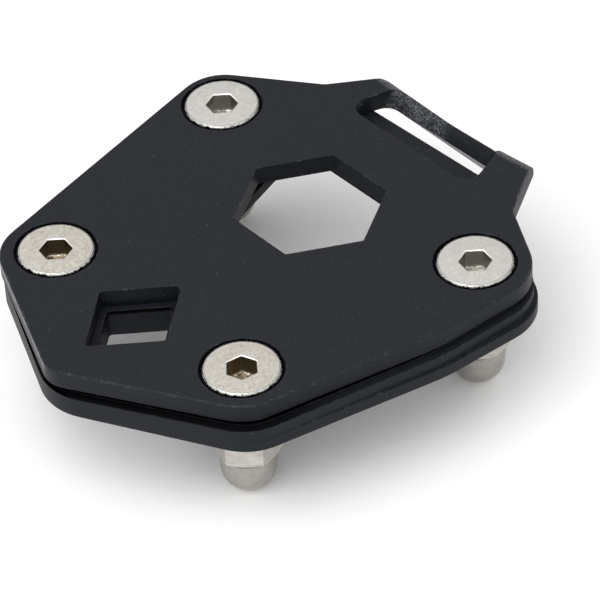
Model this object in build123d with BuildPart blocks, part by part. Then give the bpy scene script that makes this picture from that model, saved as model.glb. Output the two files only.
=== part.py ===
"""Kickstand foot enlarger: a ground plate screwed to a foot frame, standing on its four cap nuts.

All sizes are in millimetres. X points to the slotted nose, Y to the left of the nose, Z up.
The origin is on the ground, under the middle of the outline.
Plan sizes are measured from one datum, the centre of the hexagonal window.
"""

import os
from math import hypot, radians, tan

from build123d import *

# Stack, from the ground up
DOME_R = 4.4
NUT_TAPER_H = 3.5
NUT_HEX_H = 6.2
WASHER_T = 1.6
FRAME_T = 4.9
PLATE_T = 3.2

# Fasteners: M6 countersunk socket screws, plain washers and domed cap nuts
THREAD_D = 6.0
THREAD_GAP = 0.05
SCREW_LENGTH = 16.0
TIP_CHAMFER = 0.7
HEAD_D = 12.0
HEAD_RIM = 0.5
HEAD_PROUD = 0.2
HEAD_EDGE_BREAK = 0.25
SOCKET_AF = 4.0
SOCKET_DEPTH = 2.5
SOCKET_BEVEL = 0.1
COUNTERSINK_ANGLE = 90.0
HEAD_RECESS_D = 13.2
HEAD_RECESS_DEPTH = 0.4
CLEARANCE_HOLE_D = 6.6
WASHER_D = 12.0
WASHER_BORE_D = 6.4
WASHER_EDGE_BREAK = 0.2
NUT_AF = 10.0
NUT_CORNER_ANGLE = 30.0
NUT_DOME_BASE_R = 4.7
NUT_THREAD_DEPTH = 8.0
NUT_TURN = -46.0
DRILL_POINT_ANGLE = 118.0

# Screw centres from the datum, and how far each hexagonal socket is turned
SCREW_PLACES = {
    "nose_left": (6.7, 28.3),
    "nose_right": (8.8, -28.1),
    "tail_left": (-35.1, 20.0),
    "tail_right": (-32.7, -20.7),
}
SOCKET_TURNS = {"nose_left": 20.0, "nose_right": 20.0, "tail_left": 20.0, "tail_right": -10.0}

# Ground plate: each outer corner is set off from its screw by x and y, with a radius
PLATE_BOSSES = {
    "nose_left": (3.6, 8.4, 7.6),
    "nose_right": (4.8, -9.25, 8.8),
    "tail_left": (-6.4, 7.5, 8.5),
    "tail_right": (-5.6, -7.4, 8.5),
}
TAIL_POINT = (-53.8, -0.2)
TAIL_R = 5.0
SIDE_BEND = (-6.0, -36.1)
SIDE_BEND_R = 25.0
NOTCH_LEFT = (21.9, 20.4)
NOTCH_RIGHT = (21.4, -23.5)
NOTCH_R = 3.0
EDGE_BREAK = 0.2

# Nose of the ground plate: a hollow bar across it, and a block that stands out at its right end
NOSE_LEFT = (31.1, 13.9)
NOSE_LEFT_R = 4.5
BAR_MIDDLE = (30.6, -0.5)
BAR_HOLLOW_R = 60.0
BLOCK_Y = -11.3
BAR_RIGHT_X = 31.0
BLOCK_LEFT_X = 31.6
NOSE_RIGHT = (32.2, -17.2)
NOSE_RIGHT_R = 0.5
NOSE_ROUND_R = 3.0

# Windows of the ground plate
HEXAGON_AF = 21.4
HEXAGON_CORNER_R = 0.4
DIAMOND_PLACE = (-36.6, -0.2)
DIAMOND_LENGTH = 19.6
DIAMOND_WIDTH = 15.7
DIAMOND_CORNER_R = 0.7
SLOT_NEAR_X = 20.5
SLOT_FAR_X = 28.0
SLOT_LEAN = 2.3
SLOT_MID_Y = -0.3
SLOT_NEAR_HALF = 14.3
SLOT_END_ANGLE = 17.2
SLOT_CORNER_R = 2.7

# Foot frame: outer corners off their screws as above, and a step along the right arm
FRAME_BOSSES = {
    "nose_left": (3.1, 7.4, 7.0),
    "nose_right": (5.6, -11.1, 9.4),
    "tail_left": (-6.3, 7.0, 8.5),
    "tail_right": (-6.2, -8.7, 9.0),
}
FRAME_TAIL_POINT = (-54.1, -0.2)
FRAME_TAIL_R = 10.0
FRAME_SIDE_BEND = (-6.3, -37.4)
FRAME_SHOULDER_LEFT = (19.6, 21.4)
FRAME_SHOULDER_RIGHT = (19.6, -24.4)
CROSSBAR_LEFT_X = 25.3
CROSSBAR_RIGHT_X = 26.1
CROSSBAR_HALF = 14.0
CROSSBAR_CORNER_R = 2.0
FLANGE_T = 2.0
ARM_STEP = 0.9
DIAMOND_LEDGE = 1.1
JOINT_GROOVE_H = 0.8
JOINT_GROOVE_DEPTH = 1.5

# Pocket for the stand's foot, and the lip that carries it
POCKET_TAIL_X = -12.0
POCKET_TAIL_R = 12.8
POCKET_NOSE_X = 9.0
POCKET_NOSE_Y = 11.0
POCKET_NOSE_R = 8.0
LIP_T = 1.9
LIP_REACH = 3.0

# Heights that follow from the stack
NUT_HEX_Z = DOME_R + NUT_TAPER_H
WASHER_Z = NUT_HEX_Z + NUT_HEX_H
FRAME_Z = WASHER_Z + WASHER_T
PLATE_Z = FRAME_Z + FRAME_T
TOP_Z = PLATE_Z + PLATE_T


def trace(corners):
    """Face inside a closed line through points, each with its corner radius, in the open sketch."""
    with BuildLine() as outline:
        FilletPolyline(*[point for point, _ in corners], radius=[r for _, r in corners], close=True)
    make_face(outline.edges())


def boss_corner(bosses, name):
    """Outer corner of an outline beside one screw, with its radius."""
    x, y = SCREW_PLACES[name]
    dx, dy, radius = bosses[name]
    return (x + dx, y + dy), radius


def plate_corners():
    """Outline of the ground plate, clockwise from the nose's left corner."""
    return [
        (NOSE_LEFT, NOSE_LEFT_R),
        (BAR_MIDDLE, BAR_HOLLOW_R),
        ((BAR_RIGHT_X, BLOCK_Y), 0),
        ((BLOCK_LEFT_X, BLOCK_Y), 0),
        (NOSE_RIGHT, NOSE_RIGHT_R),
        (NOTCH_RIGHT, NOTCH_R),
        boss_corner(PLATE_BOSSES, "nose_right"),
        (SIDE_BEND, SIDE_BEND_R),
        boss_corner(PLATE_BOSSES, "tail_right"),
        (TAIL_POINT, TAIL_R),
        boss_corner(PLATE_BOSSES, "tail_left"),
        boss_corner(PLATE_BOSSES, "nose_left"),
        (NOTCH_LEFT, NOTCH_R),
    ]


def frame_corners(step):
    """Outline of the foot frame, with its right arm drawn in by a step that fades to the tail."""
    (arm_x, arm_y), arm_r = boss_corner(FRAME_BOSSES, "nose_right")
    bend_x, bend_y = FRAME_SIDE_BEND
    return [
        ((CROSSBAR_LEFT_X, CROSSBAR_HALF), CROSSBAR_CORNER_R),
        ((CROSSBAR_RIGHT_X, -CROSSBAR_HALF), CROSSBAR_CORNER_R),
        (FRAME_SHOULDER_RIGHT, NOTCH_R),
        ((arm_x - step / 2, arm_y + step), arm_r),
        ((bend_x, bend_y + step / 2), SIDE_BEND_R),
        boss_corner(FRAME_BOSSES, "tail_right"),
        (FRAME_TAIL_POINT, FRAME_TAIL_R),
        boss_corner(FRAME_BOSSES, "tail_left"),
        boss_corner(FRAME_BOSSES, "nose_left"),
        (FRAME_SHOULDER_LEFT, NOTCH_R),
    ]


def slot_corners(far_x):
    """Outline of the slot, whose ends close in towards the nose."""
    far_half = SLOT_NEAR_HALF - (far_x - SLOT_NEAR_X) * tan(radians(SLOT_END_ANGLE))
    return [
        ((SLOT_NEAR_X, SLOT_MID_Y + SLOT_NEAR_HALF), SLOT_CORNER_R),
        ((SLOT_NEAR_X, SLOT_MID_Y - SLOT_NEAR_HALF), SLOT_CORNER_R),
        ((far_x, SLOT_MID_Y - far_half), SLOT_CORNER_R),
        ((far_x, SLOT_MID_Y + far_half), SLOT_CORNER_R),
    ]


def diamond_corners(ledge):
    """Outline of the diamond window, with its four sides moved in by a ledge."""
    half_length = DIAMOND_LENGTH / 2
    half_width = DIAMOND_WIDTH / 2
    side = hypot(half_length, half_width)
    reach_x = half_length - ledge * side / half_width
    reach_y = half_width - ledge * side / half_length
    x, y = DIAMOND_PLACE
    return [
        ((x + reach_x, y), DIAMOND_CORNER_R),
        ((x, y - reach_y), DIAMOND_CORNER_R),
        ((x - reach_x, y), DIAMOND_CORNER_R),
        ((x, y + reach_y), DIAMOND_CORNER_R),
    ]


def pocket_outline(inset):
    """Rounded triangle that the stand's foot fits, drawn in by an inset, in the open sketch."""
    with Locations((POCKET_TAIL_X, 0)):
        Circle(POCKET_TAIL_R - inset)
    with Locations((POCKET_NOSE_X, POCKET_NOSE_Y), (POCKET_NOSE_X, -POCKET_NOSE_Y)):
        Circle(POCKET_NOSE_R - inset)
    make_hull()


# The origin lies under the middle of the two outlines
with BuildSketch() as footprint:
    trace(plate_corners())
    trace(frame_corners(step=0))
extent = footprint.sketch.bounding_box()
DATUM_X = -(extent.min.X + extent.max.X) / 2
DATUM_Y = -(extent.min.Y + extent.max.Y) / 2


def level(z):
    """Plane at one height, with its origin on the datum."""
    return Plane((DATUM_X, DATUM_Y, z))


def screw_plane(name, z):
    """Plane at one height, with its origin on a screw's axis."""
    x, y = SCREW_PLACES[name]
    return Plane((DATUM_X + x, DATUM_Y + y, z))


def screw_section(name):
    """Upright plane through a screw's axis, with its origin on the ground."""
    x, y = SCREW_PLACES[name]
    return Plane((DATUM_X + x, DATUM_Y + y, 0), x_dir=(1, 0, 0), z_dir=(0, -1, 0))


def screw_axis(name):
    """Axis of a screw, pointing up."""
    return Axis(screw_plane(name, 0).origin, (0, 0, 1))


def block_plane(x):
    """Upright plane along the nose block's left side, facing the block, with its origin at x."""
    return Plane((DATUM_X + x, DATUM_Y + BLOCK_Y, TOP_Z), x_dir=(1, 0, 0), z_dir=(0, -1, 0))


def round_over():
    """What is cut off a square edge at the sketch's origin to round it, in the open sketch."""
    with Locations((-NOSE_ROUND_R, -NOSE_ROUND_R)):
        Rectangle(2 * NOSE_ROUND_R, 2 * NOSE_ROUND_R, align=(Align.MIN, Align.MIN))
        Circle(NOSE_ROUND_R, mode=Mode.SUBTRACT)


# Ground plate: flat bar cut to its outline, with the nose rounded over on top
COUNTERSINK_TAPER = tan(radians(COUNTERSINK_ANGLE / 2))
COUNTERSINK_R = HEAD_D / 2 + (HEAD_RIM - HEAD_PROUD) * COUNTERSINK_TAPER

# The bar's rounding runs on in its own line past the left corner, the block's past the right one
BAR_LINE = Vector(*NOSE_LEFT) - Vector(*BAR_MIDDLE)
NOSE_LEFT_END = tuple(Vector(*NOSE_LEFT) + BAR_LINE.normalized() * NOSE_LEFT_R)
BLOCK_LINE = Vector(*NOSE_RIGHT) - Vector(BLOCK_LEFT_X, BLOCK_Y)
BLOCK_LENGTH = 2 * BLOCK_LINE.length

with BuildPart() as ground_plate:
    with BuildSketch(level(PLATE_Z)):
        trace(plate_corners())
    extrude(amount=PLATE_T)
    rims = ground_plate.faces().filter_by(Axis.Z).edges()
    chamfer(rims, length=EDGE_BREAK)

    with BuildLine(level(TOP_Z)):
        FilletPolyline((BAR_RIGHT_X, BLOCK_Y), BAR_MIDDLE, NOSE_LEFT_END, radius=BAR_HOLLOW_R)
    with BuildSketch(block_plane(BAR_RIGHT_X)):
        round_over()
    sweep(mode=Mode.SUBTRACT)
    with BuildSketch(block_plane(BLOCK_LEFT_X)):
        round_over()
    extrude(amount=BLOCK_LENGTH, dir=BLOCK_LINE, mode=Mode.SUBTRACT)

    with BuildSketch(level(PLATE_Z)) as hexagon:
        RegularPolygon(HEXAGON_AF / 2, 6, major_radius=False, rotation=30)
        fillet(hexagon.vertices(), radius=HEXAGON_CORNER_R)
    with BuildSketch(level(PLATE_Z)):
        trace(diamond_corners(ledge=0))
    extrude(amount=PLATE_T, mode=Mode.SUBTRACT)

    with BuildSketch(level(PLATE_Z)):
        trace(slot_corners(SLOT_FAR_X))
    with BuildSketch(level(TOP_Z)):
        trace(slot_corners(SLOT_FAR_X + SLOT_LEAN))
    loft(ruled=True, mode=Mode.SUBTRACT)

    with Locations([screw_plane(name, TOP_Z) for name in SCREW_PLACES]):
        CounterSinkHole(CLEARANCE_HOLE_D / 2, COUNTERSINK_R, counter_sink_angle=COUNTERSINK_ANGLE)
        Hole(HEAD_RECESS_D / 2, depth=HEAD_RECESS_DEPTH)

ground_plate.part.label = "ground_plate"


# Foot frame: a closed ring round the stand's foot, with a flange along its lower edge
with BuildPart() as foot_frame:
    with BuildSketch(level(FRAME_Z)):
        trace(frame_corners(step=0))
    extrude(amount=FLANGE_T)
    with BuildSketch(level(FRAME_Z + FLANGE_T)):
        trace(frame_corners(step=ARM_STEP))
    extrude(amount=FRAME_T - FLANGE_T - JOINT_GROOVE_H)
    with BuildSketch(level(PLATE_Z - JOINT_GROOVE_H)):
        trace(frame_corners(step=ARM_STEP))
        offset(amount=-JOINT_GROOVE_DEPTH, mode=Mode.REPLACE)
    extrude(amount=JOINT_GROOVE_H)

    with BuildSketch(level(FRAME_Z)):
        pocket_outline(inset=LIP_REACH)
        trace(diamond_corners(ledge=DIAMOND_LEDGE))
    extrude(amount=FRAME_T, mode=Mode.SUBTRACT)
    with BuildSketch(level(FRAME_Z + LIP_T)):
        pocket_outline(inset=0)
    extrude(amount=FRAME_T - LIP_T, mode=Mode.SUBTRACT)

    with Locations([screw_plane(name, PLATE_Z) for name in SCREW_PLACES]):
        Hole(CLEARANCE_HOLE_D / 2)

foot_frame.part.label = "foot_frame"


def turn_screw(name):
    """Countersunk screw, turned from bar, with its hexagonal socket."""
    head_z = TOP_Z + HEAD_PROUD
    shank_r = THREAD_D / 2
    head_r = HEAD_D / 2
    neck_z = head_z - HEAD_RIM - (head_r - shank_r) / COUNTERSINK_TAPER
    tip_z = head_z - SCREW_LENGTH
    with BuildPart() as screw:
        with BuildSketch(screw_section(name)):
            with BuildLine():
                Polyline(
                    (0, head_z),
                    (head_r - HEAD_EDGE_BREAK, head_z),
                    (head_r, head_z - HEAD_EDGE_BREAK),
                    (head_r, head_z - HEAD_RIM),
                    (shank_r, neck_z),
                    (shank_r, tip_z + TIP_CHAMFER),
                    (shank_r - TIP_CHAMFER, tip_z),
                    (0, tip_z),
                    close=True,
                )
            make_face()
        revolve(axis=screw_axis(name))
        with BuildSketch(screw_plane(name, head_z)) as socket:
            RegularPolygon(SOCKET_AF / 2, 6, major_radius=False, rotation=SOCKET_TURNS[name])
        extrude(amount=-SOCKET_DEPTH, mode=Mode.SUBTRACT)
        socket_r = SOCKET_AF / 3**0.5
        with Locations(screw_plane(name, head_z)):
            CounterSinkHole(SOCKET_AF / 4, socket_r + SOCKET_BEVEL, depth=SOCKET_DEPTH, counter_sink_angle=90)
    return screw.part


def stamp_washer(name):
    """Plain washer under the frame, with its lower outer rim broken."""
    with BuildPart() as washer:
        with BuildSketch(screw_plane(name, WASHER_Z)):
            Circle(WASHER_D / 2)
            Circle(WASHER_BORE_D / 2, mode=Mode.SUBTRACT)
        extrude(amount=WASHER_T)
        lower_rim = washer.edges().group_by(Axis.Z)[0].sort_by(SortBy.LENGTH)[-1]
        chamfer(lower_rim, length=WASHER_EDGE_BREAK)
    return washer.part


def turn_cap_nut(name):
    """Domed cap nut, turned from hexagonal bar, with its blind thread up against the washer."""
    bore_r = THREAD_D / 2 + THREAD_GAP
    corner_r = NUT_AF / 3**0.5
    corner_h = (corner_r - NUT_AF / 2) * tan(radians(NUT_CORNER_ANGLE))
    bore_z = WASHER_Z - NUT_THREAD_DEPTH
    point_h = bore_r / tan(radians(DRILL_POINT_ANGLE / 2))
    with BuildPart() as cap_nut:
        with BuildSketch(screw_section(name)):
            with BuildLine():
                RadiusArc((0, 0), (DOME_R, DOME_R), -DOME_R)
                Polyline(
                    (DOME_R, DOME_R),
                    (NUT_DOME_BASE_R, NUT_HEX_Z),
                    (NUT_AF / 2, NUT_HEX_Z),
                    (corner_r, NUT_HEX_Z + corner_h),
                    (corner_r, WASHER_Z - corner_h),
                    (NUT_AF / 2, WASHER_Z),
                    (bore_r, WASHER_Z),
                    (bore_r, bore_z),
                    (0, bore_z - point_h),
                    (0, 0),
                )
            make_face()
        revolve(axis=screw_axis(name))
        with BuildSketch(screw_plane(name, 0)):
            RegularPolygon(NUT_AF / 2, 6, major_radius=False, rotation=NUT_TURN)
        extrude(amount=WASHER_Z, mode=Mode.INTERSECT)
    return cap_nut.part


os.makedirs("parts", exist_ok=True)
export_step(ground_plate.part, "parts/ground_plate.step")
export_step(foot_frame.part, "parts/foot_frame.step")
for name in SCREW_PLACES:
    for kind, make in (("screw", turn_screw), ("washer", stamp_washer), ("cap_nut", turn_cap_nut)):
        piece = make(name)
        piece.label = f"{kind}_{name}"
        export_step(piece, f"parts/{piece.label}.step")
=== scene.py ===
"""Kickstand foot enlarger, dressed: charcoal anodised plates, nickel-plated screws and cap nuts."""

import math

import bpy
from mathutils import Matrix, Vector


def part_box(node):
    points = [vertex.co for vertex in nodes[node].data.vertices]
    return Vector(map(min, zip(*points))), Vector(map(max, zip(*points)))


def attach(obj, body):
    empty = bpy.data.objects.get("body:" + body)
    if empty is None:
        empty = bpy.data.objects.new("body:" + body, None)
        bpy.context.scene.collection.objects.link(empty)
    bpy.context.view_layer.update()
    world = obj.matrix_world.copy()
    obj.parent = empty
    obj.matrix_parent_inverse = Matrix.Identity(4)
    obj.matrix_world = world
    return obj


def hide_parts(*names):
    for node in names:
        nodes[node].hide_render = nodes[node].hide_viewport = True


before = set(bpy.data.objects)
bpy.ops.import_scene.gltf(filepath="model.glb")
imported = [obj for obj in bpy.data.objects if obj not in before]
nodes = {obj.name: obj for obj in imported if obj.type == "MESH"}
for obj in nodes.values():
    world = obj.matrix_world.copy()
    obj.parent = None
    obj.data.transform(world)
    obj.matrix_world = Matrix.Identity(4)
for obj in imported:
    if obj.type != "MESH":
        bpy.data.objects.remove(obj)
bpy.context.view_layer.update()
MM = 0.001


# Foot frame
# The ring that grips the stand's foot, milled from flat aluminium bar and stepped along its
# right arm. It is bead-blasted and anodised charcoal, so it has a fine matt grain.

def new_group(name, inputs, outputs):
    """Shader node group with its sockets; returns it with its input and output nodes."""
    group = bpy.data.node_groups.new(name, "ShaderNodeTree")
    for label, kind, value in inputs:
        socket = group.interface.new_socket(label, in_out="INPUT", socket_type=kind)
        socket.default_value = value
    for label, kind in outputs:
        group.interface.new_socket(label, in_out="OUTPUT", socket_type=kind)
    return group, group.nodes.new("NodeGroupInput"), group.nodes.new("NodeGroupOutput")


def add_noise(tree, vector, scale, detail=2.0, roughness=0.5):
    """Noise texture on a vector, with its scale in features to the metre."""
    noise = tree.nodes.new("ShaderNodeTexNoise")
    noise.inputs["Detail"].default_value = detail
    noise.inputs["Roughness"].default_value = roughness
    tree.links.new(vector, noise.inputs["Vector"])
    if isinstance(scale, (int, float)):
        noise.inputs["Scale"].default_value = scale
    else:
        tree.links.new(scale, noise.inputs["Scale"])
    return noise.outputs["Fac"]


def add_ramp(tree, value, low, high, to_low=0.0, to_high=1.0):
    """Value stretched smoothly from one range to another, and held at its ends."""
    ramp = tree.nodes.new("ShaderNodeMapRange")
    ramp.interpolation_type = "SMOOTHSTEP"
    ramp.inputs["From Min"].default_value = low
    ramp.inputs["From Max"].default_value = high
    ramp.inputs["To Min"].default_value = to_low
    ramp.inputs["To Max"].default_value = to_high
    tree.links.new(value, ramp.inputs["Value"])
    return ramp.outputs["Result"]


def add_math(tree, operation, first, second=0.0):
    """Math node on two values, each a socket or a number."""
    node = tree.nodes.new("ShaderNodeMath")
    node.operation = operation
    for socket, value in zip(node.inputs, (first, second)):
        if isinstance(value, (int, float)):
            socket.default_value = value
        else:
            tree.links.new(value, socket)
    return node.outputs["Value"]


def add_vector_math(tree, operation, first, second=None):
    """Outputs of a vector maths node on one vector or two, the second a socket or three numbers."""
    node = tree.nodes.new("ShaderNodeVectorMath")
    node.operation = operation
    tree.links.new(first, node.inputs[0])
    if isinstance(second, tuple):
        node.inputs[1].default_value = second
    elif second is not None:
        tree.links.new(second, node.inputs[1])
    return node.outputs


def add_mix(tree, factor, first, second):
    """Colour between two colours, each a socket or red, green and blue."""
    mix = tree.nodes.new("ShaderNodeMix")
    mix.data_type = "RGBA"
    tree.links.new(factor, mix.inputs["Factor"])
    for socket, colour in ((mix.inputs[6], first), (mix.inputs[7], second)):
        if isinstance(colour, tuple):
            socket.default_value = (*colour, 1.0)
        else:
            tree.links.new(colour, socket)
    return mix.outputs[2]


def add_bump(tree, shader, height, normal, strength, distance):
    """Fine relief on a surface whose edges are already rounded."""
    bump = tree.nodes.new("ShaderNodeBump")
    bump.inputs["Strength"].default_value = strength
    bump.inputs["Distance"].default_value = distance
    tree.links.new(height, bump.inputs["Height"])
    tree.links.new(normal, bump.inputs["Normal"])
    tree.links.new(bump.outputs["Normal"], shader.inputs["Normal"])


def join(tree, x, y, z=None):
    """Vector of two values or three."""
    vector = tree.nodes.new("ShaderNodeCombineXYZ")
    for socket, value in zip(vector.inputs, (x, y, z)):
        if value is not None:
            tree.links.new(value, socket)
    return vector.outputs["Vector"]


def split(tree, vector):
    """The three parts of a vector."""
    parts = tree.nodes.new("ShaderNodeSeparateXYZ")
    tree.links.new(vector, parts.inputs["Vector"])
    return parts.outputs["X"], parts.outputs["Y"], parts.outputs["Z"]


def overlap(tree, first, *masks):
    """Where all of these masks are."""
    for mask in masks:
        first = add_math(tree, "MULTIPLY", first, mask)
    return first


def add_reach(tree, along, across, axis):
    """Distance in plan from an upright axis."""
    return add_vector_math(tree, "DISTANCE", join(tree, along, across), (*axis, 0.0))["Value"]


def make_edge_group():
    """Where an edge is rounded by handling: a broken line of wear, and the rounded normal."""
    group, inputs, outputs = new_group(
        "edge rounding",
        [("Radius", "NodeSocketFloat", 0.2 * MM), ("Patch Size", "NodeSocketFloat", 900.0)],
        [("Wear", "NodeSocketFloat"), ("Normal", "NodeSocketVector")],
    )
    bevel = group.nodes.new("ShaderNodeBevel")
    bevel.samples = 6
    group.links.new(inputs.outputs["Radius"], bevel.inputs["Radius"])
    rounded = bevel.outputs["Normal"]
    flat = group.nodes.new("ShaderNodeNewGeometry").outputs["Normal"]
    edge = add_ramp(group, add_vector_math(group, "DOT_PRODUCT", rounded, flat)["Value"], 0.999, 0.93)
    place = group.nodes.new("ShaderNodeTexCoord").outputs["Object"]
    patches = add_noise(group, place, inputs.outputs["Patch Size"], detail=4.0, roughness=0.7)
    group.links.new(overlap(group, edge, add_ramp(group, patches, 0.5, 0.66)), outputs.inputs["Wear"])
    group.links.new(rounded, outputs.inputs["Normal"])
    return group


def make_blast_group():
    """Bead-blasted surface: fine grain, broad cloudiness and a scatter of bright pits."""
    group, inputs, outputs = new_group(
        "bead-blasted grain",
        [("Grain Size", "NodeSocketFloat", 3600.0), ("Pit Size", "NodeSocketFloat", 2600.0)],
        [("Grain", "NodeSocketFloat"), ("Cloud", "NodeSocketFloat"), ("Pits", "NodeSocketFloat")],
    )
    place = group.nodes.new("ShaderNodeTexCoord").outputs["Object"]
    grain = add_noise(group, place, inputs.outputs["Grain Size"], detail=3.0, roughness=0.65)
    cloud = add_noise(group, place, 60.0, detail=3.0)
    pits = add_noise(group, place, inputs.outputs["Pit Size"], detail=1.0)
    group.links.new(grain, outputs.inputs["Grain"])
    group.links.new(cloud, outputs.inputs["Cloud"])
    group.links.new(add_ramp(group, pits, 0.75, 0.8), outputs.inputs["Pits"])
    return group


def add_group(tree, group, **values):
    """Placed copy of a node group, with some of its inputs set."""
    node = tree.nodes.new("ShaderNodeGroup")
    node.node_tree = group
    for label, value in values.items():
        node.inputs[label.replace("_", " ").title()].default_value = value
    return node


def new_material(name):
    """Material with its node tree and its Principled shader."""
    material = bpy.data.materials.new(name)
    material.use_nodes = True
    return material, material.node_tree, material.node_tree.nodes["Principled BSDF"]


def add_anodised(name, edge_radius, low_roughness, high_roughness, wear):
    """Charcoal anodising over a bead-blasted surface, rubbed to a pale broken line on its edges."""
    material, tree, shader = new_material(name)
    grain = add_group(tree, BLASTED_GRAIN)
    edges = add_group(tree, EDGE_ROUNDING, radius=edge_radius)
    dye = add_mix(tree, grain.outputs["Cloud"], DEEP_DYE, CLOUDY_DYE)
    dye = add_mix(tree, add_ramp(tree, grain.outputs["Grain"], 0.35, 0.75), dye, GRAIN_DYE)
    dye = add_mix(tree, grain.outputs["Pits"], dye, BRIGHT_PIT)
    dye = add_mix(tree, add_math(tree, "MULTIPLY", edges.outputs["Wear"], wear), dye, RUBBED_EDGE)
    roughness = add_ramp(tree, grain.outputs["Grain"], 0.3, 0.7, low_roughness, high_roughness)
    tree.links.new(roughness, shader.inputs["Roughness"])
    shader.inputs["Specular IOR Level"].default_value = 0.25
    add_bump(tree, shader, grain.outputs["Grain"], edges.outputs["Normal"], 0.35, 0.03 * MM)
    return material, tree, shader, dye


def add_shade_metallic(tree, shader, upward, shadow_mask):
    """Metallic as painted shade: a little on the milled walls, which darkens them, and in full on a mask of
    painted shadow.
    """
    walls = add_ramp(tree, add_math(tree, "ABSOLUTE", upward), 0.6, 0.3, 0.0, WALL_SHADE_METALLIC)
    tree.links.new(add_math(tree, "MAXIMUM", walls, shadow_mask), shader.inputs["Metallic"])


def start_part():
    """Object mode with nothing selected."""
    if bpy.context.object and bpy.context.object.mode != "OBJECT":
        bpy.ops.object.mode_set(mode="OBJECT")
    bpy.ops.object.select_all(action="DESELECT")


def take_up(piece):
    """Object mode with only this piece selected."""
    start_part()
    piece.select_set(True)
    bpy.context.view_layer.objects.active = piece


def copy_node(node, name):
    """Copy of a CAD node with its triangles joined, to be reworked and to stand for the node."""
    piece = bpy.data.objects.new(name, nodes[node].data.copy())
    bpy.context.collection.objects.link(piece)
    piece.data.materials.clear()
    take_up(piece)
    bpy.ops.object.mode_set(mode="EDIT")
    bpy.ops.mesh.select_all(action="SELECT")
    bpy.ops.mesh.remove_doubles(threshold=0.001 * MM)
    bpy.ops.mesh.customdata_custom_splitnormals_clear()
    bpy.ops.object.mode_set(mode="OBJECT")
    return piece


def near(value, target, reach):
    """True within this reach of the target."""
    return abs(value - target) < reach


def shift_corners(piece, is_chosen, shift):
    """Moves the corners of a piece that a test on their place picks out."""
    bpy.ops.object.mode_set(mode="EDIT")
    bpy.ops.mesh.select_mode(type="VERT")
    bpy.ops.mesh.select_all(action="DESELECT")
    bpy.ops.object.mode_set(mode="OBJECT")
    for corner in piece.data.vertices:
        corner.select = is_chosen(*corner.co)
    bpy.ops.object.mode_set(mode="EDIT")
    bpy.ops.transform.translate(value=shift)
    bpy.ops.object.mode_set(mode="OBJECT")


def finish_piece(piece, node, material):
    """Smooth shading up to sharp edges, the material, and the piece's place in the frame."""
    bpy.ops.object.shade_smooth_by_angle(angle=SMOOTH_ANGLE)
    piece.data.materials.append(material)
    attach(piece, "root")
    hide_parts(node)


SMOOTH_ANGLE = math.radians(36)
SNAP = 0.01 * MM

# The groove is cut into the frame's top edge, under the plate, and slopes down to the tail
GROOVE_FLOOR_Z = 19.8 * MM
GROOVE_HEIGHT = 0.8 * MM
TAIL_DROP = 0.6 * MM
TAIL_X = -39.9 * MM
TAIL_LENGTH = 11.5 * MM
# Both ends of the crossbar's straight front
CROSSBAR_NEAR_X = 34.0 * MM
CROSSBAR_FAR_X = 36.7 * MM
CROSSBAR_LEFT_Y = 14.64 * MM
CROSSBAR_RIGHT_Y = -12.1 * MM
CROSSBAR_SNAP = 0.06 * MM

WINDOW_AXIS = (10.52 * MM, 1.31 * MM)
POCKET_REACH = 19.0 * MM

DEEP_DYE = (0.0038, 0.0052, 0.0085)
CLOUDY_DYE = (0.006, 0.0078, 0.0115)
GRAIN_DYE = (0.013, 0.0155, 0.0205)
BRIGHT_PIT = (0.09, 0.093, 0.1)
RUBBED_EDGE = (0.11, 0.115, 0.12)
# Painted shadow for the groove, and how much of it the ledge takes along the part
GROOVE_PAINTED_SHADOW = (0.001, 0.001, 0.001)
WALL_SHADE_METALLIC = 0.3
LEDGE_SHADE = 0.6
LEDGE_FADE = (-8.0 * MM, -26.0 * MM)

EDGE_ROUNDING = make_edge_group()
BLASTED_GRAIN = make_blast_group()


def is_crossbar_end(x, y, z):
    """True for corners of the groove's floor at the ends of the crossbar's straight front."""
    is_end = near(y, CROSSBAR_LEFT_Y, CROSSBAR_SNAP) or near(y, CROSSBAR_RIGHT_Y, CROSSBAR_SNAP)
    return is_end and near(z, GROOVE_FLOOR_Z, SNAP) and CROSSBAR_NEAR_X < x < CROSSBAR_FAR_X


def is_tail_floor(x, y, z):
    """True for corners of the groove's floor round the tail."""
    return near(z, GROOVE_FLOOR_Z, SNAP) and x < TAIL_X


foot_frame = copy_node("foot_frame", "foot_frame_milled")
# The groove stops at the crossbar, whose top is flat out to its edge
shift_corners(foot_frame, is_crossbar_end, (0, 0, GROOVE_HEIGHT))
# Round the tail it is cut deeper
shift_corners(foot_frame, is_tail_floor, (0, 0, -TAIL_DROP))

frame_anodised, tree, shader, dye = add_anodised("charcoal_anodised_frame", 0.25 * MM, 0.46, 0.62, wear=0.4)
along, across, height = split(tree, tree.nodes.new("ShaderNodeTexCoord").outputs["Object"])
upward = split(tree, tree.nodes.new("ShaderNodeNewGeometry").outputs["Normal"])[2]
# Painted shadow: the groove's wall is painted black all round, and its ledge is painted darker towards the
# tail
slope = add_math(tree, "MULTIPLY", add_math(tree, "SUBTRACT", along, TAIL_X), TAIL_DROP / TAIL_LENGTH)
ledge = add_math(tree, "ADD", slope, GROOVE_FLOOR_Z - TAIL_DROP)
ledge = add_math(tree, "MINIMUM", ledge, GROOVE_FLOOR_Z)
on_wall = add_math(tree, "GREATER_THAN", height, add_math(tree, "ADD", ledge, 0.1 * MM))
on_ledge = add_math(tree, "GREATER_THAN", height, add_math(tree, "SUBTRACT", ledge, 0.03 * MM))
on_ledge = overlap(tree, on_ledge, add_ramp(tree, along, *LEDGE_FADE, 0.0, LEDGE_SHADE))
groove = overlap(
    tree,
    add_math(tree, "MAXIMUM", on_wall, on_ledge),
    add_math(tree, "LESS_THAN", height, GROOVE_FLOOR_Z + GROOVE_HEIGHT - 0.04 * MM),
    add_math(tree, "GREATER_THAN", add_reach(tree, along, across, WINDOW_AXIS), POCKET_REACH),
)
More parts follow.
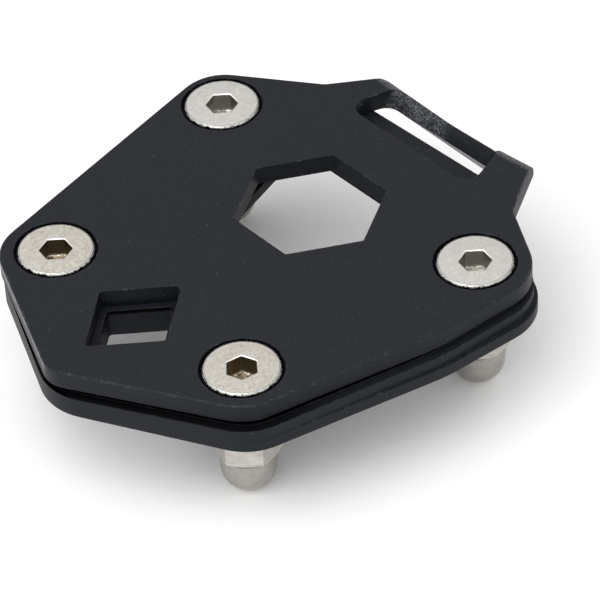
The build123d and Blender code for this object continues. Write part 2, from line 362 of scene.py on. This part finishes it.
tree.links.new(add_mix(tree, groove, dye, GROOVE_PAINTED_SHADOW), shader.inputs["Base Color"])
add_shade_metallic(tree, shader, upward, groove)
finish_piece(foot_frame, "foot_frame", frame_anodised)


# Ground plate
# The wide plate that spreads the load on soft ground: milled flat bar with a rounded nose, a
# slot, a hexagonal and a diamond window, screwed to the frame. Its finish is like the frame's.

def find_axis(node):
    """Axis in plan and highest point of an upright round node."""
    low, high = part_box(node)
    return (low.x + high.x) / 2, (low.y + high.y) / 2, high.z


CORNERS = ("nose_left", "nose_right", "tail_left", "tail_right")
SCREW_AXES = {corner: find_axis(f"screw_{corner}") for corner in CORNERS}
PLATE_BOTTOM_Z = 20.6 * MM
HEAD_GAP_R = 6.56 * MM
BAR_NEAR_X = 37.8 * MM
BAR_FAR_X = 38.6 * MM
# Places across the part where the bar's inner wall has corners, and how far down the wedge reaches there
WEDGE = (
    (-8.97 * MM, 0.55 * MM),
    (-9.35 * MM, 0.55 * MM),
    (-9.73 * MM, 0.5 * MM),
    (-10.08 * MM, 0.45 * MM),
    (-10.42 * MM, 0.35 * MM),
    (-10.73 * MM, 0.25 * MM),
)

NOSE_FADE = (33.0 * MM, 36.0 * MM)
BAR_LEFT_FADE = (-0.5 * MM, 2.5 * MM)
WEDGE_FADE = (PLATE_BOTTOM_Z, PLATE_BOTTOM_Z - 0.04 * MM)
FLANK_LIGHT_FADE = (21.6 * MM, 23.2 * MM)
# Painted shadow in the gaps round the screw heads, fading out from the head
GAP_SHADOW_FADE = (HEAD_GAP_R + 0.12 * MM, HEAD_GAP_R - 0.05 * MM)
TAIL_LEFT_FLANK = (-0.91, 0.41, 0.0)
# The nose's rounding is painted lighter, as a highlight
NOSE_HIGHLIGHT_DYE = (0.03, 0.032, 0.038)
NOSE_HIGHLIGHT_SPECKLE = (0.14, 0.145, 0.155)
BAR_SPECKLE = (0.15, 0.155, 0.17)
WEDGE_PAINTED_LIGHT = (0.3, 0.3, 0.31)
FLANK_PAINTED_LIGHT = (0.17, 0.175, 0.185)
GAP_PAINTED_SHADOW = (0.002, 0.002, 0.002)

ground_plate = copy_node("ground_plate", "ground_plate_milled")
# The bar across the nose gets deeper towards the block, as a slim wedge below its inner wall
for bar_y, drop in WEDGE:
    shift_corners(
        ground_plate,
        lambda x, y, z: near(z, PLATE_BOTTOM_Z, SNAP) and BAR_NEAR_X < x < BAR_FAR_X and near(y, bar_y, SNAP),
        (0, 0, -drop),
    )

plate_anodised, tree, shader, dye = add_anodised("charcoal_anodised_plate", 0.2 * MM, 0.42, 0.58, wear=1.0)
place = tree.nodes.new("ShaderNodeTexCoord").outputs["Object"]
facing = tree.nodes.new("ShaderNodeNewGeometry").outputs["Normal"]
along, across, height = split(tree, place)
noseward, _, upward = split(tree, facing)
speckle = add_ramp(tree, add_noise(tree, place, 3000.0, detail=3.0, roughness=0.7), 0.42, 0.66)
blotches = add_ramp(tree, add_noise(tree, place, 500.0, detail=3.0), 0.2, 0.55)
# Painted highlight: the nose's rounded front and shoulder are painted lighter, with pale speckles
on_nose = add_ramp(tree, along, *NOSE_FADE)
rounding = overlap(tree, on_nose, add_ramp(tree, noseward, 0.02, 0.3), add_ramp(tree, upward, 0.1, 0.3))
dye = add_mix(tree, rounding, dye, NOSE_HIGHLIGHT_DYE)
dye = add_mix(tree, overlap(tree, rounding, speckle), dye, NOSE_HIGHLIGHT_SPECKLE)
# The left half of the bar's inner wall gets pale speckles and blotches
inner_wall = overlap(tree, on_nose, add_ramp(tree, noseward, -0.3, -0.6))
speckled_wall = overlap(tree, inner_wall, add_ramp(tree, across, *BAR_LEFT_FADE), speckle, blotches)
dye = add_mix(tree, speckled_wall, dye, BAR_SPECKLE)
# Painted highlight: the wedge below the bar is painted pale, as its edge lit from the floor
dye = add_mix(tree, add_ramp(tree, height, *WEDGE_FADE), dye, WEDGE_PAINTED_LIGHT)
# Painted reflection: the tail's left flank is painted pale along the top, where it reflects the white room
on_flank = add_ramp(tree, add_vector_math(tree, "DOT_PRODUCT", facing, TAIL_LEFT_FLANK)["Value"], 0.97, 0.995)
rubbed = overlap(tree, on_flank, blotches, add_ramp(tree, height, *FLANK_LIGHT_FADE))
dye = add_mix(tree, rubbed, dye, FLANK_PAINTED_LIGHT)
# Painted shadow: the gaps round the screw heads are painted black, and fully metallic so that they stay black
reaches = [add_reach(tree, along, across, (x, y)) for x, y, _ in SCREW_AXES.values()]
nearest = reaches[0]
for reach in reaches[1:]:
    nearest = add_math(tree, "MINIMUM", nearest, reach)
gap_shadow = add_ramp(tree, nearest, *GAP_SHADOW_FADE)
tree.links.new(add_mix(tree, gap_shadow, dye, GAP_PAINTED_SHADOW), shader.inputs["Base Color"])
add_shade_metallic(tree, shader, upward, gap_shadow)
finish_piece(ground_plate, "ground_plate", plate_anodised)


# Screws
# Four countersunk socket screws in nickel-plated steel, set almost flush in the plate. Each is
# turned from bar, with a rounded rim and a broached socket. The two at the tail are grimier.

# Radius, and depth below the top of the head, from the tip up
SCREW_PROFILE = (
    (2.3 * MM, 16.0 * MM),
    (3.0 * MM, 15.3 * MM),
    (3.0 * MM, 3.5 * MM),
    (6.0 * MM, 0.5 * MM),
    (6.0 * MM, 0.35 * MM),
    (5.93 * MM, 0.15 * MM),
    (5.78 * MM, 0.04 * MM),
    (5.6 * MM, 0.0),
)
SCREW_FACETS = 96
SOCKET_R = 4.6 * MM / math.sqrt(3)
SOCKET_DEPTH = 3.3 * MM
SOCKET_TURNS = {"nose_left": 20.0, "nose_right": 20.0, "tail_left": 20.0, "tail_right": -10.0}
BROACH_TURN = 30.0
CHAMFER = 0.13 * MM

# The first screw is raised ring by ring from its tip
first_x, first_y, head_top = SCREW_AXES["nose_left"]
radius, depth = SCREW_PROFILE[0]
start_part()
bpy.ops.mesh.primitive_circle_add(
    vertices=SCREW_FACETS,
    radius=radius,
    fill_type="NGON",
    location=(first_x, first_y, head_top - depth),
)
first_screw = bpy.context.object
bpy.ops.object.mode_set(mode="EDIT")
bpy.ops.mesh.select_all(action="SELECT")
for next_radius, next_depth in SCREW_PROFILE[1:]:
    bpy.ops.mesh.extrude_region_move(TRANSFORM_OT_translate={"value": (0, 0, depth - next_depth)})
    scale = next_radius / radius
    centre = (first_x, first_y, head_top - next_depth)
    bpy.ops.transform.resize(value=(scale, scale, 1), center_override=centre)
    radius, depth = next_radius, next_depth
bpy.ops.mesh.select_all(action="SELECT")
bpy.ops.mesh.normals_make_consistent(inside=False)
bpy.ops.object.mode_set(mode="OBJECT")

# A six-sided broach cuts its socket
start_part()
bpy.ops.mesh.primitive_cylinder_add(
    vertices=6,
    radius=SOCKET_R,
    depth=2 * SOCKET_DEPTH,
    location=(first_x, first_y, head_top),
    rotation=(0, 0, math.radians(SOCKET_TURNS["nose_left"] + BROACH_TURN)),
)
broach = bpy.context.object
take_up(first_screw)
cut = first_screw.modifiers.new("socket", "BOOLEAN")
cut.operation = "DIFFERENCE"
cut.object = broach
bpy.ops.object.modifier_apply(modifier="socket")
bpy.data.objects.remove(broach)
bpy.ops.object.transform_apply(location=True, rotation=True, scale=True)
# Every edge is chamfered. The rim's rings lie closer than two chamfers, so its strips overlap a little
bpy.ops.object.mode_set(mode="EDIT")
bpy.ops.mesh.select_mode(type="EDGE")
bpy.ops.mesh.select_all(action="SELECT")
bpy.ops.mesh.bevel(offset=CHAMFER, segments=1)
bpy.ops.object.mode_set(mode="OBJECT")
# Its map runs outwards from the axis, in metres, and goes along with every copy
from_axis = first_screw.data.uv_layers.new(name="from_axis")
for loop in first_screw.data.loops:
    corner = first_screw.data.vertices[loop.vertex_index].co
    from_axis.data[loop.index].uv = (corner.x - first_x, corner.y - first_y)

STREAK_STEP = 3.5 * MM
RIM_FADE = (5.5 * MM, 5.65 * MM)
SPECK_FADE = (5.85 * MM, 5.92 * MM)
SOCKET_FADE = (3.4 * MM, 3.2 * MM)
CHAMFER_FADE = (head_top - 0.01 * MM, head_top - 0.03 * MM)
WALL_FADE = (head_top - CHAMFER - 0.02 * MM, head_top - CHAMFER - 0.1 * MM)
FLOOR_FADE = (head_top - SOCKET_DEPTH + 0.5 * MM, head_top - SOCKET_DEPTH)
# Painted highlight on the rim and the socket's chamfer, and black specks painted on the rim as reflection
HIGHLIGHT_NICKEL = (0.98, 0.97, 0.94)
GAP_REFLECTION_SPECK = (0.02, 0.018, 0.015)


def add_nickel(name, light, dark, low_roughness, high_roughness):
    """Satin nickel plating, mottled and rounded at its edges; returns the colour for more work."""
    material, tree, shader = new_material(name)
    edges = add_group(tree, EDGE_ROUNDING, radius=0.12 * MM)
    place = tree.nodes.new("ShaderNodeTexCoord").outputs["Object"]
    mottle = add_noise(tree, place, 700.0, detail=6.0, roughness=0.65)
    plating = add_mix(tree, add_ramp(tree, mottle, 0.3, 0.7), dark, light)
    shader.inputs["Metallic"].default_value = 1.0
    roughness = add_ramp(tree, mottle, 0.3, 0.7, high_roughness, low_roughness)
    tree.links.new(roughness, shader.inputs["Roughness"])
    add_bump(tree, shader, add_noise(tree, place, 3000.0), edges.outputs["Normal"], 0.25, 0.02 * MM)
    return material, tree, shader, place, plating


def make_screw_nickel(name, light, dark, stain, socket_wall, socket_floor):
    """Nickel of the screws: turned round the axis, stained, painted bright at the rim as a highlight, darker
    in the socket.
    """
    material, tree, shader, place, plating = add_nickel(name, light, dark, 0.28, 0.42)
    height = split(tree, place)[2]
    outward = tree.nodes.new("ShaderNodeUVMap")
    outward.uv_map = "from_axis"
    radius = add_vector_math(tree, "LENGTH", outward.outputs["UV"])["Value"]
    # Stains lie in short soft streaks round the axis: a direction, and a slower step outwards
    turned_x, turned_y, _ = split(tree, add_vector_math(tree, "NORMALIZE", outward.outputs["UV"])["Vector"])
    streaked = join(tree, turned_x, turned_y, add_math(tree, "DIVIDE", radius, STREAK_STEP))
    streaks = add_noise(tree, streaked, 8.0, detail=5.0, roughness=0.7)
    colour = add_mix(tree, add_ramp(tree, streaks, 0.42, 0.7), plating, stain)
    # Painted highlight: the rim is painted bright, with black specks painted on it as the dark gap's
    # reflection
    colour = add_mix(tree, add_ramp(tree, radius, *RIM_FADE), colour, HIGHLIGHT_NICKEL)
    specks = add_ramp(tree, add_noise(tree, place, 1500.0, detail=4.0, roughness=0.7), 0.52, 0.57)
    specks = overlap(tree, specks, add_ramp(tree, radius, *SPECK_FADE))
    colour = add_mix(tree, specks, colour, GAP_REFLECTION_SPECK)
    # The socket's chamfer is painted bright as a highlight. Below it the walls are darker, and the floor
    # paler and gritty
    in_socket = add_ramp(tree, radius, *SOCKET_FADE)
    on_chamfer = overlap(tree, add_ramp(tree, height, *CHAMFER_FADE), in_socket)
    colour = add_mix(tree, on_chamfer, colour, HIGHLIGHT_NICKEL)
    below_chamfer = overlap(tree, add_ramp(tree, height, *WALL_FADE), in_socket)
    colour = add_mix(tree, below_chamfer, colour, socket_wall)
    grit = add_ramp(tree, add_noise(tree, place, 1800.0, detail=3.0), 0.35, 0.6)
    on_floor = overlap(tree, add_ramp(tree, height, *FLOOR_FADE), below_chamfer, grit)
    colour = add_mix(tree, on_floor, colour, socket_floor)
    tree.links.new(colour, shader.inputs["Base Color"])
    return material


clean_nickel = make_screw_nickel(
    "satin_nickel_nose_screws",
    light=(0.92, 0.905, 0.86),
    dark=(0.76, 0.74, 0.69),
    stain=(0.74, 0.71, 0.65),
    socket_wall=(0.36, 0.345, 0.315),
    socket_floor=(0.8, 0.78, 0.73),
)
grimy_nickel = make_screw_nickel(
    "satin_nickel_tail_screws",
    light=(0.92, 0.885, 0.815),
    dark=(0.74, 0.7, 0.62),
    stain=(0.64, 0.57, 0.46),
    socket_wall=(0.16, 0.13, 0.085),
    socket_floor=(0.85, 0.78, 0.66),
)
for corner in CORNERS:
    take_up(first_screw)
    bpy.ops.object.duplicate()
    screw = bpy.context.object
    screw.name = f"screw_{corner}_turned"
    corner_x, corner_y, _ = SCREW_AXES[corner]
    bpy.ops.transform.translate(value=(corner_x - first_x, corner_y - first_y, 0))
    bpy.ops.object.transform_apply(location=True, rotation=True, scale=True)
    bpy.ops.object.mode_set(mode="EDIT")
    bpy.ops.mesh.select_all(action="SELECT")
    # With no window, the operator turns the other way
    turn = math.radians(SOCKET_TURNS["nose_left"] - SOCKET_TURNS[corner])
    bpy.ops.transform.rotate(value=turn, orient_axis="Z", center_override=(corner_x, corner_y, head_top))
    bpy.ops.object.mode_set(mode="OBJECT")
    screw_nickel = grimy_nickel if corner.startswith("tail") else clean_nickel
    finish_piece(screw, f"screw_{corner}", screw_nickel)
bpy.data.objects.remove(first_screw)


# Washers
# Four plain steel washers, punched from sheet and nickel-plated, each clamped between the
# frame and a cap nut.

def dress(node, material):
    """The CAD node keeps its shape and takes this material."""
    for slot in nodes[node].material_slots:
        slot.material = material


washer_nickel, tree, shader, _, plating = add_nickel(
    "satin_nickel_washers",
    light=(0.68, 0.65, 0.61),
    dark=(0.56, 0.53, 0.49),
    low_roughness=0.32,
    high_roughness=0.45,
)
tree.links.new(plating, shader.inputs["Base Color"])
for corner in CORNERS:
    dress(f"washer_{corner}", washer_nickel)


# Cap nuts
# Four domed cap nuts, turned from hexagonal steel bar and nickel-plated, with a dark seam below
# the hexagon. In this pose the part stands on their domes.

HEXAGON_END_Z = 7.9 * MM
DOME_FADE = (HEXAGON_END_Z, HEXAGON_END_Z - 0.2 * MM)
SEAM_TOP_FADE = (HEXAGON_END_Z - 0.3 * MM, HEXAGON_END_Z - 0.4 * MM)
SEAM_BOTTOM_FADE = (HEXAGON_END_Z - 0.6 * MM, HEXAGON_END_Z - 0.5 * MM)
DOME_SHADE = 0.6
DOME_SHADE_NICKEL = (0.33, 0.315, 0.29)
SEAM_NICKEL = (0.16, 0.15, 0.135)

nut_nickel, tree, shader, place, plating = add_nickel(
    "satin_nickel_cap_nuts",
    light=(0.58, 0.56, 0.52),
    dark=(0.44, 0.42, 0.385),
    low_roughness=0.3,
    high_roughness=0.42,
)
height = split(tree, place)[2]
# Painted shade: the dome is painted darker, as the shadowed floor it reflects
plating = add_mix(tree, add_ramp(tree, height, *DOME_FADE, 0.0, DOME_SHADE), plating, DOME_SHADE_NICKEL)
seam = overlap(tree, add_ramp(tree, height, *SEAM_BOTTOM_FADE), add_ramp(tree, height, *SEAM_TOP_FADE))
plating = add_mix(tree, seam, plating, SEAM_NICKEL)
tree.links.new(plating, shader.inputs["Base Color"])
for corner in CORNERS:
    dress(f"cap_nut_{corner}", nut_nickel)


# Floor
# A plain white sweep that the part stands on and casts a soft shadow over.

FLOOR_SIZE = 3.0
WHITE = (1.0, 1.0, 1.0)
PAPER_WHITE = (0.8, 0.8, 0.8)

start_part()
bpy.ops.mesh.primitive_plane_add(size=FLOOR_SIZE)
floor = bpy.context.object
floor.name = "floor"
floor_material, floor_tree, floor_shader = new_material("white_paper")
floor_shader.inputs["Roughness"].default_value = 0.9
floor_shader.inputs["Specular IOR Level"].default_value = 0.0
# It is pure white where it is seen, directly or in the metal, and paper white where it lights the part
ray = floor_tree.nodes.new("ShaderNodeLightPath")
seen = add_math(floor_tree, "MAXIMUM", ray.outputs["Is Camera Ray"], ray.outputs["Is Glossy Ray"])
seen = add_math(floor_tree, "MAXIMUM", seen, ray.outputs["Is Transmission Ray"])
floor_tree.links.new(add_mix(floor_tree, seen, PAPER_WHITE, WHITE), floor_shader.inputs["Base Color"])
floor.data.materials.append(floor_material)


# Light
# A large soft box above the tail, in a white room that is brighter towards the same side.

SOFTBOX_PLACE = (-0.3, -0.05, 0.5)
SOFTBOX_SIZE = 0.5
SOFTBOX_POWER = 1.3
FRONT_LEFT = (-0.8, -0.4, 0.45)
DIM_SIDE = 0.55
BRIGHT_SIDE = 1.15

softbox_data = bpy.data.lights.new("tail_side_box", "AREA")
softbox_data.size = SOFTBOX_SIZE
softbox_data.energy = SOFTBOX_POWER
softbox = bpy.data.objects.new("tail_side_box", softbox_data)
bpy.context.collection.objects.link(softbox)
softbox.location = SOFTBOX_PLACE
# It is tilted and turned to face the middle of the part
box_x, box_y, box_z = SOFTBOX_PLACE
tilt = math.atan2(math.hypot(box_x, box_y), box_z)
softbox.rotation_euler = (tilt, 0.0, math.atan2(-box_y, -box_x) - math.pi / 2)

world = bpy.data.worlds.new("studio")
world.use_nodes = True
bpy.context.scene.world = world
sky = world.node_tree
background = sky.nodes["Background"]
background.inputs["Color"].default_value = (*WHITE, 1.0)
direction = sky.nodes.new("ShaderNodeTexCoord").outputs["Generated"]
facing = add_vector_math(sky, "DOT_PRODUCT", direction, FRONT_LEFT)["Value"]
brightness = add_ramp(sky, facing, -1.0, 1.0, DIM_SIDE, BRIGHT_SIDE)
sky.links.new(brightness, background.inputs["Strength"])


# Camera
# A long lens above the tail, looking across the part, with the photograph's slight roll.

CAMERA_PLACE = (-0.31561, -0.38332, 0.45399)
CAMERA_TURN = (48.195, 2.564, -42.312)
SENSOR_WIDTH = 36.0
FOCAL_LENGTH = 254.34

camera_data = bpy.data.cameras.new("camera")
camera_data.sensor_width = SENSOR_WIDTH
camera_data.lens = FOCAL_LENGTH
camera = bpy.data.objects.new("camera", camera_data)
bpy.context.collection.objects.link(camera)
camera.location = CAMERA_PLACE
camera.rotation_euler = [math.radians(angle) for angle in CAMERA_TURN]
bpy.context.scene.camera = camera
bpy.context.scene.view_settings.view_transform = "Standard"
